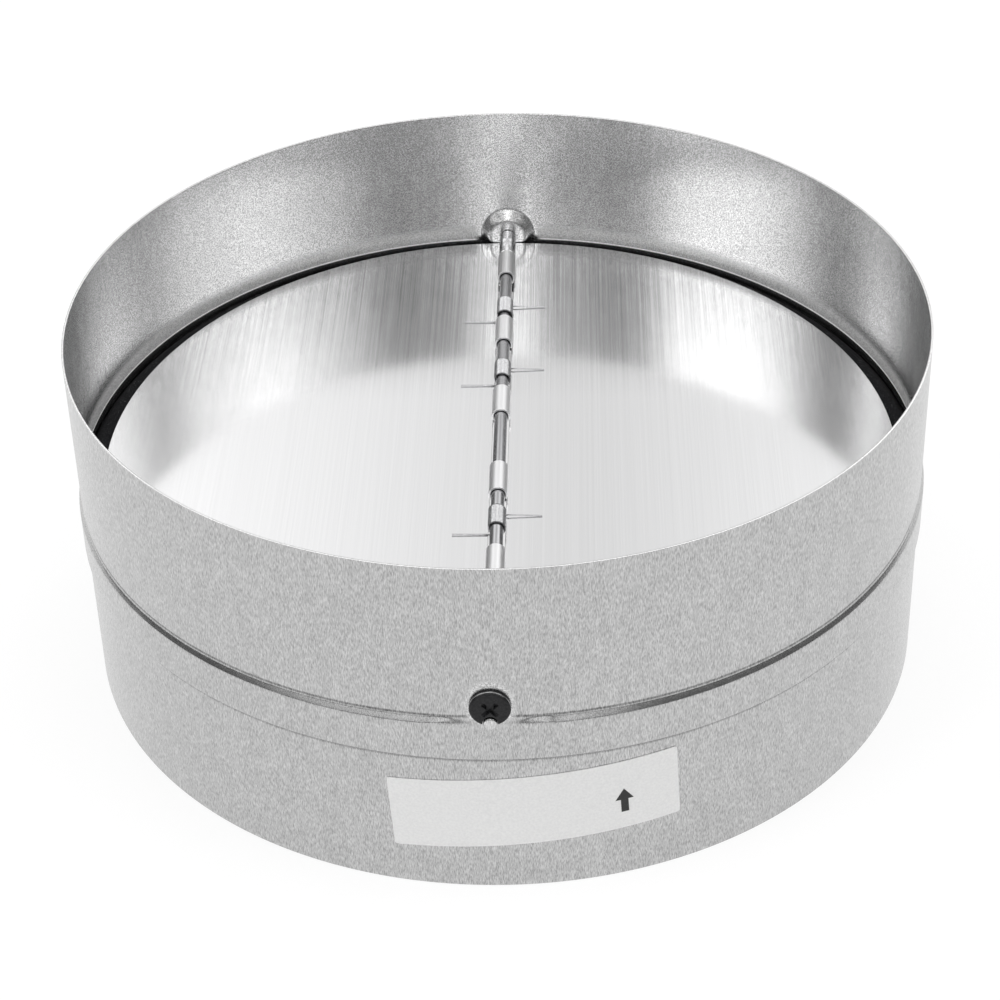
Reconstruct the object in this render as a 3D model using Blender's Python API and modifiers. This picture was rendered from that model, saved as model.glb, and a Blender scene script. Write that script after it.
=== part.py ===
"""Backdraft damper for a 200 mm round duct.

A rolled sheet casing carries a spindle rod across its middle. Two half-oval blades hang on the
rod by rolled knuckles, rest on a foam seal and fold up with the air flow, which runs along +Z.
Torsion springs on the rod push the blades shut. The frame's origin is the middle of the casing's
inlet end, and the spindle runs along Y.
"""
import math

import bmesh
import bpy
from mathutils import Matrix

MM = 0.001

# Casing: a rolled sheet ring with one band pressed outwards
CASING_OUTER_R = 99.0 * MM
CASING_HEIGHT = 85.5 * MM
CASING_SHEET = 0.5 * MM
BAND_RISE = 0.85 * MM
BAND_TOP = 48.0 * MM
BAND_WIDTH = 12.0 * MM
BAND_STEP = 2.0 * MM

# Dimples: two round recesses pressed into the casing, the front one shallow and the rear one deeper,
# each with a pip that keeps the screw from turning
DIMPLE_RIM_R = 7.2 * MM
FRONT_FLOOR_R = 4.9 * MM
FRONT_DEPTH = 0.6 * MM
REAR_FLOOR_R = 4.6 * MM
REAR_DEPTH = 1.8 * MM
PIP_R = 1.5 * MM
PIP_DROP = 3.9 * MM
PIP_HEIGHT = 1.3 * MM

# Spindle rod, sleeves and the screws that hold them
SPINDLE_Z = 50.0 * MM
ROD_R = 1.6 * MM
SLEEVE_R = 2.1 * MM
SCREW_HEAD_R = 4.4 * MM
SCREW_CHAMFER = 0.25 * MM
SCREW_HEAD_HEIGHT = 1.1 * MM
SCREW_SHANK_R = 1.6 * MM
SCREW_SHANK_LENGTH = 4.2 * MM
RECESS_REACH = 2.1 * MM
RECESS_WIDTH = 0.9 * MM
RECESS_DEPTH = 0.9 * MM

# Blades: flat half ovals with knuckles rolled round the spindle, held clear of the casing by a
# wider margin at their sides than at the spindle's ends
SIDE_MARGIN = 5.0 * MM
END_MARGIN = 2.5 * MM
BLADE_SHEET = 0.5 * MM
KNUCKLE_R = 2.25 * MM
KNUCKLE_LENGTH = 11.0 * MM
KNUCKLE_SWEEP = math.radians(300.0)
KNUCKLES_PER_BLADE = 3
# From the blades' front and rear ends to the row of knuckles
FRONT_MARGIN = 7.6 * MM
REAR_MARGIN = 10.4 * MM

# Springs: one leg lies on each blade
WIRE_R = 0.2 * MM
COIL_TURNS = 9
COIL_LENGTH = 7.5 * MM
LEG_REACH = 11.0 * MM
# The spring's place in each gap between knuckles, rear to front, as a share of its free room:
# -1 lies against the front knuckle, 1 against the rear one, None leaves the gap empty
SPRING_PLACES = (-0.66, -0.27, None, 0.17, 0.0)

# Foam seal: two strips stuck into the band, on which the blades rest
SEAL_THICKNESS = 8.0 * MM
SEAL_HEIGHT = 11.0 * MM
SEAL_JOINT = 0.6 * MM

# Clearances
SEAT_GAP = 0.3 * MM
RUNNING_GAP = 0.34 * MM
FIT_GAP = 0.1 * MM

# Fineness of the round shapes
CASING_SIDES = 96
DIMPLE_SIDES = 36
SMALL_SIDES = 24
KNUCKLE_STEPS = 14
TURN_POINTS = 10
STEP_POINTS = 3

CASING_INNER_R = CASING_OUTER_R - CASING_SHEET
BLADE_HALF_WIDTH = CASING_INNER_R - SIDE_MARGIN
BLADE_HALF_LENGTH = CASING_INNER_R - END_MARGIN
KNUCKLE_BORE_R = KNUCKLE_R - BLADE_SHEET
KNUCKLE_COUNT = 2 * KNUCKLES_PER_BLADE
KNUCKLE_ROW = 2 * BLADE_HALF_LENGTH - FRONT_MARGIN - REAR_MARGIN - KNUCKLE_LENGTH
KNUCKLE_PITCH = KNUCKLE_ROW / (KNUCKLE_COUNT - 1)
BLADE_EDGE_X = math.sqrt((KNUCKLE_R + RUNNING_GAP) ** 2 - KNUCKLE_BORE_R ** 2)
BLADE_UNDERSIDE_Z = SPINDLE_Z - KNUCKLE_R
COIL_R = ROD_R + FIT_GAP + WIRE_R


class SpindleEnd:
    """One end of the spindle: the way it faces, its dimple, and how far out its screw lies."""

    def __init__(self, name, turn, floor_r, depth):
        self.name = name
        self.turn = (math.radians(90.0), 0.0, math.radians(turn))
        self.floor_r = floor_r
        self.slope = math.atan2(depth, DIMPLE_RIM_R - floor_r)
        self.dimple_y = CASING_OUTER_R - depth
        self.seat_y = self.dimple_y + SEAT_GAP
        self.face_y = self.seat_y + SCREW_HEAD_HEIGHT
        self.tip_y = self.seat_y - SCREW_SHANK_LENGTH
        self.rod_y = self.tip_y - SEAT_GAP


FRONT = SpindleEnd("front", 0.0, FRONT_FLOOR_R, FRONT_DEPTH)
REAR = SpindleEnd("rear", 180.0, REAR_FLOOR_R, REAR_DEPTH)


def clear_scene():
    for obj in list(bpy.data.objects):
        bpy.data.objects.remove(obj, do_unlink=True)


def make_collection(name):
    collection = bpy.data.collections.new(name)
    bpy.context.scene.collection.children.link(collection)
    return collection


def make_material(name, colour, roughness, metallic):
    material = bpy.data.materials.new(name)
    material.use_nodes = True
    shader = material.node_tree.nodes["Principled BSDF"]
    shader.inputs["Base Color"].default_value = (*colour, 1.0)
    shader.inputs["Roughness"].default_value = roughness
    shader.inputs["Metallic"].default_value = metallic
    material.diffuse_color = (*colour, 1.0)
    return material


def add_object(name, data, collection, material=None):
    obj = bpy.data.objects.new(name, data)
    collection.objects.link(obj)
    if material:
        data.materials.append(material)
    return obj


def shade_round(mesh, angle=35.0):
    mesh.shade_smooth()
    mesh.set_sharp_from_angle(angle=math.radians(angle))


def bmesh_to_mesh(bm, name):
    bmesh.ops.recalc_face_normals(bm, faces=bm.faces)
    mesh = bpy.data.meshes.new(name)
    bm.to_mesh(mesh)
    bm.free()
    shade_round(mesh)
    return mesh


def profile_mesh(name, points, closed):
    """A line of (radius, height) points in the XZ plane, ready for a Screw modifier."""
    bm = bmesh.new()
    verts = [bm.verts.new((r, 0.0, z)) for r, z in points]
    pairs = list(zip(verts, verts[1:]))
    if closed:
        pairs.append((verts[-1], verts[0]))
    for first, second in pairs:
        bm.edges.new((first, second))
    mesh = bpy.data.meshes.new(name)
    bm.to_mesh(mesh)
    bm.free()
    return mesh


def turned(name, points, sides, collection, material=None, closed=False):
    """A profile turned round its local Z axis. Points run down the outer side, top to bottom."""
    obj = add_object(name, profile_mesh(name, points, closed), collection, material)
    screw = obj.modifiers.new("Turn", "SCREW")
    screw.axis = "Z"
    screw.steps = sides
    screw.render_steps = sides
    screw.use_merge_vertices = True
    screw.merge_threshold = 0.00001
    screw.use_smooth_shade = True
    return obj


def add_boolean(obj, other, operation):
    mod = obj.modifiers.new(operation.title(), "BOOLEAN")
    mod.operation = operation
    mod.solver = "EXACT"
    mod.object = other


def make_cutter(obj):
    obj.hide_render = True
    obj.display_type = "WIRE"
    return obj


def step_points(z_from, z_to, r_from, r_to):
    """The S-shaped step of a pressed band, as (radius, height) points with both ends."""
    points = []
    for i in range(STEP_POINTS + 1):
        t = i / STEP_POINTS
        blend = 0.5 - 0.5 * math.cos(math.pi * t)
        points.append((r_from + (r_to - r_from) * blend, z_from + (z_to - z_from) * t))
    return points


def casing_skin(inset=0.0):
    """The casing's outer skin from the outlet end down to the inlet end, moved inwards by inset."""
    wall_r = CASING_OUTER_R - inset
    band_r = wall_r + BAND_RISE
    band_bottom = BAND_TOP - BAND_WIDTH
    upper = step_points(BAND_TOP, BAND_TOP - BAND_STEP, wall_r, band_r)
    lower = step_points(band_bottom + BAND_STEP, band_bottom, band_r, wall_r)
    return [(wall_r, CASING_HEIGHT)] + upper + lower + [(wall_r, 0.0)]


def skin_radius(z, inset):
    """The radius of the casing's skin at a height, moved inwards by inset."""
    skin = casing_skin(inset)
    for (r_high, z_high), (r_low, z_low) in zip(skin, skin[1:]):
        if z_low <= z <= z_high:
            return r_low + (r_high - r_low) * (z - z_low) / (z_high - z_low)
    return skin[0][0]


def floor_radius(end, depth_in_sheet):
    return end.floor_r + depth_in_sheet * math.tan(end.slope / 2)


def cone_radius(end, y, depth_in_sheet):
    """The dimple's radius at a distance y from the casing's middle, on the surface that lies
    depth_in_sheet below the dimple's outer side."""
    floor_y = end.dimple_y - depth_in_sheet
    return floor_radius(end, depth_in_sheet) + (y - floor_y) / math.tan(end.slope)


def place_at_end(obj, end):
    obj.location = (0.0, 0.0, SPINDLE_Z)
    obj.rotation_euler = end.turn
    return obj


def dimple_plug(end, label, depth_in_sheet, cutters):
    """A solid cone that reaches out through the casing wall, with its end at the dimple's floor."""
    top = CASING_OUTER_R + 2 * BAND_RISE
    floor_y = end.dimple_y - depth_in_sheet
    points = [
        (0.0, top),
        (cone_radius(end, top, depth_in_sheet), top),
        (floor_radius(end, depth_in_sheet), floor_y),
        (0.0, floor_y),
    ]
    plug = turned(end.name + label, points, DIMPLE_SIDES, cutters)
    return make_cutter(place_at_end(plug, end))


def dimple_dish(end, envelope, cutters):
    """The pressed dish itself, cut off inside the wall so that it joins the casing's sheet."""
    top = CASING_OUTER_R + 2 * BAND_RISE
    hole_r = SCREW_SHANK_R + FIT_GAP
    inner_y = end.dimple_y - CASING_SHEET
    points = [
        (cone_radius(end, top, 0.0), top),
        (cone_radius(end, top, CASING_SHEET), top),
        (floor_radius(end, CASING_SHEET), inner_y),
        (hole_r, inner_y),
        (hole_r, end.dimple_y),
        (end.floor_r, end.dimple_y),
    ]
    dish = turned(end.name + "_dimple_dish", points, DIMPLE_SIDES, cutters, closed=True)
    add_boolean(dish, envelope, "INTERSECT")
    return make_cutter(place_at_end(dish, end))


def pip_cylinder(end, label, radius, bottom_y, top_y, cutters):
    """A short cylinder along the spindle's line, below it, standing out of the dimple's floor."""
    bm = bmesh.new()
    bmesh.ops.create_cone(bm, cap_ends=True, segments=SMALL_SIDES, radius1=radius, radius2=radius,
                          depth=top_y - bottom_y)
    middle = (bottom_y + top_y) / 2
    bmesh.ops.translate(bm, verts=bm.verts, vec=(0.0, -PIP_DROP, middle))
    name = end.name + label
    pip = add_object(name, bmesh_to_mesh(bm, name), cutters)
    return make_cutter(place_at_end(pip, end))


def build_casing(parts, cutters, steel):
    casing = add_object("casing", profile_mesh("casing", casing_skin(), False), parts, steel)
    screw = casing.modifiers.new("Turn", "SCREW")
    screw.axis = "Z"
    screw.steps = CASING_SIDES
    screw.render_steps = CASING_SIDES
    screw.use_merge_vertices = True
    screw.merge_threshold = 0.00001
    solidify = casing.modifiers.new("Sheet", "SOLIDIFY")
    solidify.thickness = CASING_SHEET
    solidify.offset = -1.0

    inset = CASING_SHEET / 4
    skin = casing_skin(inset)
    envelope_points = [(0.0, CASING_HEIGHT)] + skin + [(0.0, 0.0)]
    envelope = make_cutter(turned("casing_envelope", envelope_points, CASING_SIDES, cutters))
    for end in (FRONT, REAR):
        plug = dimple_plug(end, "_dimple_plug", CASING_SHEET / 2, cutters)
        dish = dimple_dish(end, envelope, cutters)
        pip = pip_cylinder(end, "_pip", PIP_R, end.dimple_y - CASING_SHEET / 2,
                           end.dimple_y + PIP_HEIGHT, cutters)
        add_boolean(casing, plug, "DIFFERENCE")
        add_boolean(casing, dish, "UNION")
        add_boolean(casing, pip, "UNION")
    return casing


def seal_section():
    """The foam strip's cross-section: flat inside, following the band with a gap outside."""
    top_z = BLADE_UNDERSIDE_Z - SEAT_GAP
    bottom_z = top_z - SEAL_HEIGHT
    inner_r = CASING_INNER_R - SEAL_THICKNESS
    inset = CASING_SHEET + SEAT_GAP
    heights = [z for r, z in casing_skin() if bottom_z < z < top_z]
    outer = [(skin_radius(z, inset), z) for z in [top_z] + heights + [bottom_z]]
    return outer + [(inner_r, bottom_z), (inner_r, top_z)]


def build_seals(parts, cutters, foam):
    """Two half rings of foam strip that meet under the spindle."""
    half_turn = CASING_OUTER_R + BAND_RISE
    plugs = [dimple_plug(end, "_seal_plug", CASING_SHEET + SEAT_GAP, cutters)
             for end in (FRONT, REAR)]
    for name, sign in (("left_seal", -1), ("right_seal", 1)):
        seal = turned(name, seal_section(), CASING_SIDES, parts, foam, closed=True)
        bm = bmesh.new()
        bmesh.ops.create_cube(bm, size=2 * half_turn)
        bmesh.ops.translate(bm, verts=bm.verts,
                            vec=(sign * (half_turn + SEAL_JOINT / 2), 0.0, SPINDLE_Z))
        keep = make_cutter(add_object(name + "_half", bmesh_to_mesh(bm, name + "_half"), cutters))
        add_boolean(seal, keep, "INTERSECT")
        for plug in plugs:
            add_boolean(seal, plug, "DIFFERENCE")


def knuckle_middles():
    """The middle of each knuckle along the spindle, from the rear to the front."""
    first = BLADE_HALF_LENGTH - REAR_MARGIN - KNUCKLE_LENGTH / 2
    return [first - KNUCKLE_PITCH * i for i in range(KNUCKLE_COUNT)]


def blade_outline(sign, middles):
    """Outline points of one half oval, with a tongue out to the spindle for each knuckle."""
    edge_x = sign * BLADE_EDGE_X
    start = math.acos(BLADE_EDGE_X / BLADE_HALF_WIDTH)
    steps = CASING_SIDES // 2
    points = []
    for i in range(steps + 1):
        angle = start - 2 * start * i / steps
        points.append((sign * BLADE_HALF_WIDTH * math.cos(angle), BLADE_HALF_LENGTH * math.sin(angle)))
    for middle in sorted(middles):
        low = middle - KNUCKLE_LENGTH / 2
        high = middle + KNUCKLE_LENGTH / 2
        points += [(edge_x, low), (0.0, low), (0.0, high), (edge_x, high)]
    return points


def build_blade(name, sign, middles, parts, aluminium):
    """One blade about its own hinge line: a flat sheet whose tongues are rolled into knuckles."""
    middle_r = KNUCKLE_R - BLADE_SHEET / 2
    bm = bmesh.new()
    verts = [bm.verts.new((x, y, -middle_r)) for x, y in blade_outline(sign, middles)]
    bm.faces.new(verts)
    tips = [edge for edge in bm.edges
            if all(abs(vert.co.x) < BLADE_EDGE_X / 2 for vert in edge.verts)]
    bmesh.ops.spin(bm, geom=tips, cent=(0, 0, 0), axis=(0, sign, 0), dvec=(0, 0, 0),
                   angle=KNUCKLE_SWEEP, steps=KNUCKLE_STEPS, use_duplicate=False)
    bmesh.ops.remove_doubles(bm, verts=bm.verts, dist=0.00001)
    blade = add_object(name, bmesh_to_mesh(bm, name), parts, aluminium)
    blade.location = (0.0, 0.0, SPINDLE_Z)
    sheet = blade.modifiers.new("Sheet", "SOLIDIFY")
    sheet.thickness = BLADE_SHEET
    sheet.offset = 0.0
    sheet.use_even_offset = True
    return blade


def build_rod(parts, steel):
    bm = bmesh.new()
    bmesh.ops.create_cone(bm, cap_ends=True, segments=SMALL_SIDES, radius1=ROD_R, radius2=ROD_R,
                          depth=FRONT.rod_y + REAR.rod_y)
    bmesh.ops.translate(bm, verts=bm.verts, vec=(0.0, 0.0, (FRONT.rod_y - REAR.rod_y) / 2))
    rod = add_object("spindle_rod", bmesh_to_mesh(bm, "spindle_rod"), parts, steel)
    place_at_end(rod, FRONT)


def build_sleeve(end, knuckle_middle, parts, steel):
    """A tube from the dimple's floor to the nearest knuckle, bored for the rod and the screw."""
    outer_y = end.dimple_y - CASING_SHEET - SEAT_GAP
    inner_y = abs(knuckle_middle) + KNUCKLE_LENGTH / 2 + SEAT_GAP
    bore_r = max(ROD_R, SCREW_SHANK_R) + FIT_GAP
    points = [(SLEEVE_R, outer_y), (SLEEVE_R, inner_y), (bore_r, inner_y), (bore_r, outer_y)]
    sleeve = turned(end.name + "_sleeve", points, SMALL_SIDES, parts, steel, closed=True)
    place_at_end(sleeve, end)


def recess_slot(end, number, cutters):
    """One of the two crossed slots of the recess, narrowing to a point at its depth."""
    bm = bmesh.new()
    bmesh.ops.create_cube(bm, size=1.0)
    for vert in bm.verts:
        reach = RECESS_REACH if vert.co.z > 0 else RECESS_WIDTH / 2
        vert.co.x = math.copysign(reach, vert.co.x)
        vert.co.y = math.copysign(RECESS_WIDTH / 2, vert.co.y)
        vert.co.z = math.copysign(RECESS_DEPTH, vert.co.z)
    angle = math.radians(45.0 + 90.0 * number)
    bmesh.ops.rotate(bm, verts=bm.verts, cent=(0, 0, 0), matrix=Matrix.Rotation(angle, 3, "Z"))
    bmesh.ops.translate(bm, verts=bm.verts, vec=(0.0, 0.0, end.face_y))
    name = f"{end.name}_recess_{number}"
    cutter = add_object(name, bmesh_to_mesh(bm, name), cutters)
    return make_cutter(place_at_end(cutter, end))


def build_screw(end, parts, cutters, black):
    """A pan-head screw on the dimple's floor, notched at its rim for the casing's pip."""
    points = [
        (0.0, end.face_y),
        (SCREW_HEAD_R - SCREW_CHAMFER, end.face_y),
        (SCREW_HEAD_R, end.face_y - SCREW_CHAMFER),
        (SCREW_HEAD_R, end.seat_y),
        (SCREW_SHANK_R, end.seat_y),
        (SCREW_SHANK_R, end.tip_y),
        (0.0, end.tip_y),
    ]
    screw = turned(end.name + "_screw", points, DIMPLE_SIDES, parts, black)
    place_at_end(screw, end)
    notch = pip_cylinder(end, "_notch", PIP_R + SEAT_GAP, end.dimple_y,
                         end.face_y + PIP_HEIGHT, cutters)
    add_boolean(screw, notch, "DIFFERENCE")
    for number in (1, 2):
        add_boolean(screw, recess_slot(end, number, cutters), "DIFFERENCE")


def leg_points(sign):
    """One leg, from the coil's underside over the blade's edge to its tip on the blade."""
    rest_z = -KNUCKLE_BORE_R + WIRE_R + FIT_GAP
    bend_x = BLADE_EDGE_X + 2 * WIRE_R
    bend_z = rest_z + WIRE_R
    reach = math.hypot(bend_x, bend_z)
    tangent = math.atan2(bend_z, bend_x) - math.acos(COIL_R / reach)
    tip = (sign * LEG_REACH, rest_z)
    bend = (sign * bend_x, bend_z)
    return tip, bend, tangent


def spring_points():
    """Points of one spring about its own middle: right leg, coil, left leg, rear to front."""
    tip, bend, tangent = leg_points(1)
    sweep = 2 * math.pi * COIL_TURNS + (math.pi + 2 * tangent)
    steps = round(sweep / (2 * math.pi) * TURN_POINTS)
    half = COIL_LENGTH / 2 - WIRE_R
    points = [(tip[0], half, tip[1]), (bend[0], half, bend[1])]
    for i in range(steps + 1):
        t = i / steps
        angle = tangent - sweep * t
        points.append((COIL_R * math.cos(angle), half - 2 * half * t, COIL_R * math.sin(angle)))
    tip, bend, tangent = leg_points(-1)
    points += [(bend[0], -half, bend[1]), (tip[0], -half, tip[1])]
    return points


def build_springs(parts, steel):
    middles = knuckle_middles()
    points = spring_points()
    free_room = (KNUCKLE_PITCH - KNUCKLE_LENGTH - COIL_LENGTH) / 2
    gaps = [(a, b, share) for a, b, share in zip(middles, middles[1:], SPRING_PLACES)
            if share is not None]
    for number, (rear_knuckle, front_knuckle, share) in enumerate(gaps, start=1):
        name = "spring_" + str(number)
        curve = bpy.data.curves.new(name, "CURVE")
        curve.dimensions = "3D"
        curve.bevel_depth = WIRE_R
        curve.bevel_resolution = 1
        curve.use_fill_caps = True
        spline = curve.splines.new("POLY")
        spline.points.add(len(points) - 1)
        for point, place in zip(spline.points, points):
            point.co = (*place, 1.0)
        spring = add_object(name, curve, parts, steel)
        middle = (rear_knuckle + front_knuckle) / 2 + share * free_room
        spring.location = (0.0, middle, SPINDLE_Z)


def main():
    clear_scene()
    parts = make_collection("backdraft_damper")
    cutters = make_collection("cutters")
    galvanised = make_material("galvanised_steel", (0.60, 0.60, 0.60), 0.45, 0.9)
    aluminium = make_material("satin_aluminium", (0.85, 0.85, 0.86), 0.3, 1.0)
    rod_steel = make_material("bright_steel", (0.45, 0.45, 0.46), 0.3, 1.0)
    sleeve_steel = make_material("polished_steel", (0.75, 0.75, 0.76), 0.15, 1.0)
    spring_steel = make_material("spring_steel", (0.65, 0.65, 0.66), 0.2, 1.0)
    foam = make_material("black_foam", (0.012, 0.012, 0.013), 0.9, 0.0)
    black = make_material("black_screw", (0.02, 0.02, 0.022), 0.4, 0.6)

    middles = knuckle_middles()
    build_casing(parts, cutters, galvanised)
    build_seals(parts, cutters, foam)
    build_blade("left_blade", -1, middles[0::2], parts, aluminium)
    build_blade("right_blade", 1, middles[1::2], parts, aluminium)
    build_rod(parts, rod_steel)
    for end, knuckle_middle in ((FRONT, middles[-1]), (REAR, middles[0])):
        build_sleeve(end, knuckle_middle, parts, sleeve_steel)
        build_screw(end, parts, cutters, black)
    build_springs(parts, spring_steel)


main()
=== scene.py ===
import math

import bmesh
import bpy
from mathutils import Matrix, Vector, noise


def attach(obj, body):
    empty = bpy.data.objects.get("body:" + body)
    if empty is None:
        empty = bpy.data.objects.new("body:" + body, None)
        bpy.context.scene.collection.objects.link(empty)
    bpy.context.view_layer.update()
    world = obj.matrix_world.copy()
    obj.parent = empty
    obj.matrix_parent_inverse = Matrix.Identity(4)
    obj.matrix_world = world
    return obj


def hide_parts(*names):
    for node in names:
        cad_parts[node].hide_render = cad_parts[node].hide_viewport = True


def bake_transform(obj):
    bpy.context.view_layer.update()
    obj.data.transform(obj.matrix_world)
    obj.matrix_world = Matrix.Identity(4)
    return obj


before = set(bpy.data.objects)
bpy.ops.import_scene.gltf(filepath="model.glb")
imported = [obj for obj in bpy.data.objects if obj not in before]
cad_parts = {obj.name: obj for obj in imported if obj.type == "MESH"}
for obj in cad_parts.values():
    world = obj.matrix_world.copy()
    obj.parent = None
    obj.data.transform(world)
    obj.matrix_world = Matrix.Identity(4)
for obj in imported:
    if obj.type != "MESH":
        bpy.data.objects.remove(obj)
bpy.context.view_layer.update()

mm = 0.001
spindleHeight = 50.0 * mm

# camera: the photograph's viewing angle
camera = {"place": (0.01897, -0.50559, 0.39057), "turn": 2.20, "dip": 35.31, "roll": -1.70, "lens": 92.62}


def placeCamera():
    turn, dip, roll = (math.radians(camera[key]) for key in ("turn", "dip", "roll"))
    ahead = Vector((-math.sin(turn) * math.cos(dip), math.cos(turn) * math.cos(dip), -math.sin(dip)))
    side = Vector((math.cos(turn), math.sin(turn), 0.0))
    above = side.cross(ahead)
    right = math.cos(roll) * side + math.sin(roll) * above
    up = -math.sin(roll) * side + math.cos(roll) * above
    view = bpy.data.objects.new("photoCamera", bpy.data.cameras.new("photoCamera"))
    turned = Matrix((right, up, -ahead)).transposed().to_4x4()
    view.matrix_world = Matrix.Translation(camera["place"]) @ turned
    view.data.lens = camera["lens"]
    view.data.sensor_width = 36.0
    view.data.clip_start = 0.01
    bpy.context.scene.collection.objects.link(view)
    bpy.context.scene.camera = view


placeCamera()
bpy.context.scene.view_settings.view_transform = "Standard"
print("camera placed")


# node helpers for the finishes
def newFinish(name, color, metallic, roughness):
    finish = bpy.data.materials.new(name)
    finish.use_nodes = True
    shader = finish.node_tree.nodes["Principled BSDF"]
    shader.inputs["Base Color"].default_value = (*color, 1.0)
    shader.inputs["Metallic"].default_value = metallic
    shader.inputs["Roughness"].default_value = roughness
    finish.diffuse_color = (*color, 1.0)
    return finish


def addNode(tree, kind, **values):
    node = tree.nodes.new(kind)
    for key, value in values.items():
        setattr(node, key, value)
    return node


def grain(finish, scale, stretch=(1.0, 1.0, 1.0), detail=3.0, roughness=0.55):
    tree = finish.node_tree
    place = addNode(tree, "ShaderNodeTexCoord")
    mapping = addNode(tree, "ShaderNodeMapping")
    mapping.inputs["Scale"].default_value = stretch
    pattern = addNode(tree, "ShaderNodeTexNoise")
    pattern.inputs["Scale"].default_value = scale
    pattern.inputs["Detail"].default_value = detail
    pattern.inputs["Roughness"].default_value = roughness
    tree.links.new(place.outputs["Object"], mapping.inputs["Vector"])
    tree.links.new(mapping.outputs["Vector"], pattern.inputs["Vector"])
    return pattern.outputs["Fac"]


def mapped(finish, value, low, high, fromLow=0.3, fromHigh=0.7):
    node = addNode(finish.node_tree, "ShaderNodeMapRange")
    node.inputs["From Min"].default_value = fromLow
    node.inputs["From Max"].default_value = fromHigh
    node.inputs["To Min"].default_value = low
    node.inputs["To Max"].default_value = high
    finish.node_tree.links.new(value, node.inputs["Value"])
    return node.outputs["Result"]


def calculated(finish, operation, first, second):
    node = addNode(finish.node_tree, "ShaderNodeMath", operation=operation)
    for socket, value in zip(node.inputs, (first, second)):
        if isinstance(value, float):
            socket.default_value = value
        else:
            finish.node_tree.links.new(value, socket)
    return node.outputs["Value"]


def added(finish, first, second):
    return calculated(finish, "ADD", first, second)


def multiplied(finish, first, second):
    return calculated(finish, "MULTIPLY", first, second)


def remainder(finish, value):
    return calculated(finish, "SUBTRACT", 1.0, value)


def along(finish, axis="Z"):
    tree = finish.node_tree
    split = addNode(tree, "ShaderNodeSeparateXYZ")
    tree.links.new(addNode(tree, "ShaderNodeTexCoord").outputs["Object"], split.inputs[0])
    return split.outputs[axis]


def awayFrom(finish, height):
    return calculated(finish, "ABSOLUTE", calculated(finish, "SUBTRACT", along(finish), height), 0.0)


def distanceFrom(finish, center, axes):
    tree = finish.node_tree
    value = addNode(tree, "ShaderNodeTexCoord").outputs["Object"]
    for operation, vector in (("SUBTRACT", center), ("MULTIPLY", axes)):
        node = addNode(tree, "ShaderNodeVectorMath", operation=operation)
        node.inputs[1].default_value = vector
        tree.links.new(value, node.inputs[0])
        value = node.outputs["Vector"]
    reach = addNode(tree, "ShaderNodeVectorMath", operation="LENGTH")
    tree.links.new(value, reach.inputs[0])
    return reach.outputs["Value"]


def attribute(finish, name):
    return addNode(finish.node_tree, "ShaderNodeAttribute", attribute_name=name).outputs["Fac"]


def blended(finish, share, first, second):
    node = addNode(finish.node_tree, "ShaderNodeMix", data_type="FLOAT")
    for socket, value in zip(node.inputs, (share, None, first, second)):
        if value:
            finish.node_tree.links.new(value, socket)
    return node.outputs[0]


def tinted(finish, value, darker, lighter):
    node = addNode(finish.node_tree, "ShaderNodeMix", data_type="RGBA")
    colors = [socket for socket in node.inputs if socket.type == "RGBA"]
    colors[0].default_value = (*darker, 1.0)
    colors[1].default_value = (*lighter, 1.0)
    finish.node_tree.links.new(value, node.inputs["Factor"])
    return [socket for socket in node.outputs if socket.type == "RGBA"][0]


def toShader(finish, value, socket):
    finish.node_tree.links.new(value, finish.node_tree.nodes["Principled BSDF"].inputs[socket])


def embossed(finish, height, strength, distance, below=None):
    node = addNode(finish.node_tree, "ShaderNodeBump")
    node.inputs["Strength"].default_value = strength
    node.inputs["Distance"].default_value = distance
    finish.node_tree.links.new(height, node.inputs["Height"])
    if below:
        finish.node_tree.links.new(below, node.inputs["Normal"])
    toShader(finish, node.outputs["Normal"], "Normal")
    return node.outputs["Normal"]


# mesh helpers
def finishPiece(name, bm, body, finish, replaces=(), smoothAngle=40.0):
    mesh = bpy.data.meshes.new(name)
    bm.to_mesh(mesh)
    bm.free()
    mesh.materials.append(finish)
    mesh.shade_smooth()
    mesh.set_sharp_from_angle(angle=math.radians(smoothAngle))
    piece = bpy.data.objects.new(name, mesh)
    bpy.context.scene.collection.objects.link(piece)
    if body:
        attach(piece, body)
    if replaces:
        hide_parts(*replaces)
    return piece


def profileLine(bm, points):
    verts = [bm.verts.new((radius, 0.0, height)) for radius, height in points]
    edges = [bm.edges.new(pair) for pair in zip(verts, verts[1:])]
    return verts + edges


def spunTube(points, sides, closed=True):
    bm = bmesh.new()
    geometry = profileLine(bm, points)
    if closed:
        verts = [item for item in geometry if isinstance(item, bmesh.types.BMVert)]
        geometry.append(bm.edges.new((verts[-1], verts[0])))
    bmesh.ops.spin(bm, geom=geometry, cent=(0, 0, 0), axis=(0, 0, 1), dvec=(0, 0, 0),
                   angle=math.tau, steps=sides, use_merge=True, use_duplicate=False)
    bmesh.ops.remove_doubles(bm, verts=bm.verts, dist=0.000002)
    bmesh.ops.recalc_face_normals(bm, faces=bm.faces)
    return bm


def rounded(bm, edges, width, segments, **options):
    bmesh.ops.bevel(bm, geom=edges, offset=width, offset_type="OFFSET", segments=segments, profile=0.5,
                    material=-1, **{"affect": "EDGES", **options})


def freshParts(grown):
    verts = [item for item in grown if isinstance(item, bmesh.types.BMVert)]
    known = set(verts)
    edges = [item for item in grown if isinstance(item, bmesh.types.BMEdge)
             and item.verts[0] in known and item.verts[1] in known]
    return verts, edges


def joined(bm, other):
    carried = bpy.data.meshes.new("carried")
    other.to_mesh(carried)
    other.free()
    bm.from_mesh(carried)
    bpy.data.meshes.remove(carried)


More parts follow.
